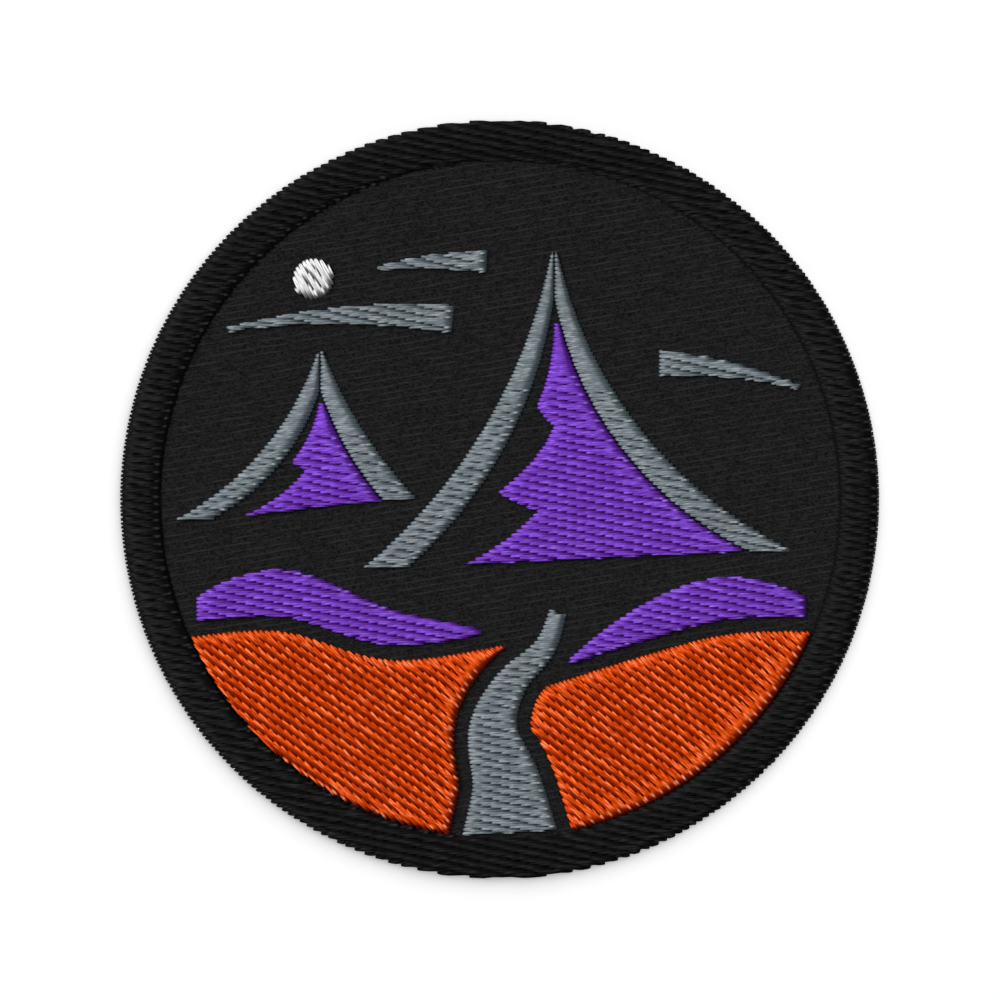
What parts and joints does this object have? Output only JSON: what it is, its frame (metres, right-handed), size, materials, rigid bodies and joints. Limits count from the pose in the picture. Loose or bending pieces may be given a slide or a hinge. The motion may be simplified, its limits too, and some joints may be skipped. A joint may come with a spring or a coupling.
{
  "type": "embroidered patch",
  "caption": "Round flat embroidered patch: black twill disc, stitched border and a raised stitched night landscape, with a plain flat back.",
  "frame": {"origin": "middle of the flat back, on the surface that the patch lies on", "axes": "+Z out of the stitched front, +Y towards the top of the picture, +X to its right"},
  "size_m": [0.0762, 0.0762, 0.0018],
  "materials": {
    "twill": "matt black polyester twill with a fine diagonal rib",
    "border_thread": "black embroidery thread, slightly lustrous",
    "orange_thread": "orange embroidery thread, lustrous",
    "purple_thread": "purple embroidery thread, lustrous",
    "grey_thread": "grey embroidery thread, lustrous",
    "white_thread": "white embroidery thread, lustrous"
  },
  "bodies": {
    "root": {"twill_base": "twill", "edge_border": "border_thread", "west_bank": "orange_thread", "east_bank": "orange_thread", "river": "grey_thread", "west_hill": "purple_thread", "east_hill": "purple_thread", "tall_face": "purple_thread", "tall_west_ridge": "grey_thread", "tall_east_ridge": "grey_thread", "far_face": "purple_thread", "far_west_ridge": "grey_thread", "far_east_ridge": "grey_thread", "cloud_long": "grey_thread", "cloud_short": "grey_thread", "cloud_east": "grey_thread", "moon": "white_thread"}
  },
  "joints": []
}
